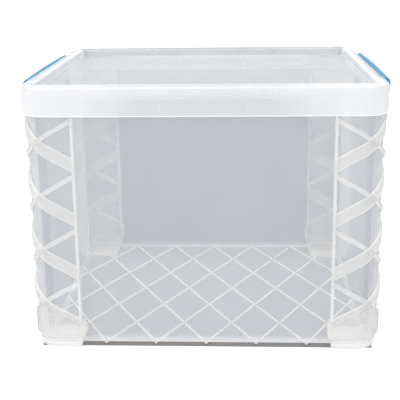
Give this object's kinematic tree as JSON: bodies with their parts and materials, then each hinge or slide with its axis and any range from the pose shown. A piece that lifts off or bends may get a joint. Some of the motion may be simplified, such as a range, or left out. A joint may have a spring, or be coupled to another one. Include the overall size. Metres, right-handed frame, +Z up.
{
  "type": "latching storage box",
  "caption": "Clear moulded storage box with truss-braced corner posts, a lift-off lid and a hinged latch handle on each side.",
  "frame": {"origin": "on the ground under the middle of the tub", "axes": "+X across the two latch handles to the right, -Y out of the front, +Z up"},
  "size_m": [0.3772, 0.317, 0.2735],
  "materials": {
    "clear_wall": "clear natural polypropylene, smooth and glossy",
    "frosted_rib": "natural polypropylene, frosted where it is thick",
    "clear_lid": "milky translucent polypropylene, smooth",
    "blue_handle": "coloured polypropylene, satin gloss"
  },
  "bodies": {
    "tub": {"tub_shell": "clear_wall", "front_left_foot": "frosted_rib", "front_right_foot": "frosted_rib", "back_left_foot": "frosted_rib", "back_right_foot": "frosted_rib", "front_left_truss": "frosted_rib", "front_right_truss": "frosted_rib", "back_left_truss": "frosted_rib", "back_right_truss": "frosted_rib", "floor_ribs": "frosted_rib", "rim_gussets": "frosted_rib", "left_latch_lugs": "frosted_rib", "right_latch_lugs": "frosted_rib"},
    "lid": {"lid": "clear_lid"},
    "left_handle": {"left_latch_handle": "blue_handle"},
    "right_handle": {"right_latch_handle": "blue_handle"}
  },
  "joints": [
    {"name": "lid_lift", "type": "slide", "parent": "tub", "child": "lid", "axis": [0, 0, 1], "range_m": [0, 0.12]},
    {"name": "left_latch", "type": "hinge", "parent": "tub", "child": "left_handle", "pos_m": [-0.1805, 0, 0.232], "axis": [0, -1, 0], "range_deg": [0, 168]},
    {"name": "right_latch", "type": "hinge", "parent": "tub", "child": "right_handle", "pos_m": [0.1805, 0, 0.232], "axis": [0, 1, 0], "range_deg": [0, 168]}
  ]
}
